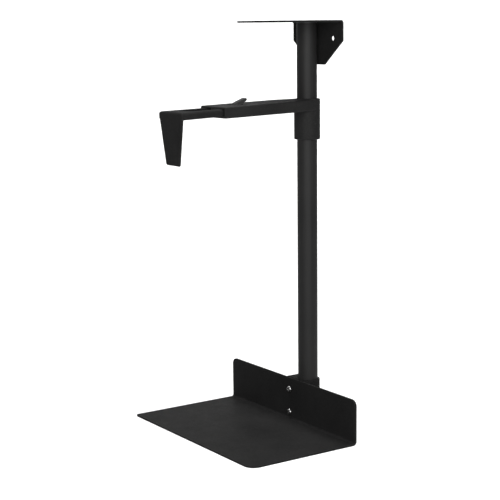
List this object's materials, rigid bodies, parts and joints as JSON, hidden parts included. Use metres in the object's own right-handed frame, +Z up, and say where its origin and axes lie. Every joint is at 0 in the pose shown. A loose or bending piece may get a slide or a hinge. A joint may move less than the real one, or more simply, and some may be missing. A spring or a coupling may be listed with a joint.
{
  "type": "cpu holder",
  "caption": "Under-desk holder for a tower computer: desk bracket, round column, L-shaped tray and an adjustable clamping arm with a finger.",
  "frame": {"origin": "on the column's axis, at the face of the desk plate that lies against the desk", "axes": "+Z up along the column; -X the way the arm and the tray reach; -Y the front, where the computer's front panel faces"},
  "size_m": [0.2402, 0.299, 0.5675],
  "materials": {
    "sheet_coat": "fine-texture black powder coat",
    "tube_coat": "satin black powder coat",
    "cast_coat": "satin black paint on a casting",
    "lever_coat": "satin black",
    "dark_steel": "black oxide",
    "zinc_steel": "zinc plated",
    "bright_steel": "bright nickel plated",
    "nylon": "moulded black nylon",
    "rubber": "matte rubber"
  },
  "bodies": {
    "bracket": {"desk_bracket": "sheet_coat", "swivel_washer": "nylon"},
    "column": {"swivel_bolt": "dark_steel", "upper_tube_plug": "zinc_steel", "column_tube": "tube_coat", "lower_tube_plug": "zinc_steel", "foot_block": "cast_coat", "foot_bolt": "dark_steel", "foot_bolt_washer": "zinc_steel", "foot_screws": "bright_steel", "tray": "sheet_coat"},
    "collar_liners": {"collar_liner_upper": "nylon", "collar_liner_lower": "nylon"},
    "housing": {"arm_housing": "cast_coat", "height_lock_screw": "dark_steel", "height_lock_pad": "nylon", "guide_block": "nylon", "guide_screw": "dark_steel", "lever_pin": "zinc_steel"},
    "arm": {"sliding_arm": "sheet_coat", "finger_facing": "rubber"},
    "lever": {"clamp_lever": "lever_coat"}
  },
  "joints": [
    {"name": "column_swivel", "type": "hinge", "parent": "bracket", "child": "column", "pos_m": [0, 0, 0], "axis": [0, 0, 1], "range_deg": [-180, 180]},
    {"name": "collar_height", "type": "slide", "parent": "column", "child": "collar_liners", "axis": [0, 0, 1], "range_m": [-0.24, 0.04]},
    {"name": "arm_turn", "type": "hinge", "parent": "collar_liners", "child": "housing", "pos_m": [0, 0, -0.135], "axis": [0, 0, 1], "range_deg": [-180, 180]},
    {"name": "arm_reach", "type": "slide", "parent": "housing", "child": "arm", "axis": [-0.9996, 0, -0.0279], "range_m": [-0.028, 0.03]},
    {"name": "lever_swing", "type": "hinge", "parent": "housing", "child": "lever", "pos_m": [-0.11843, 0, -0.11111], "axis": [0, -1, 0], "range_deg": [0, 80]}
  ]
}
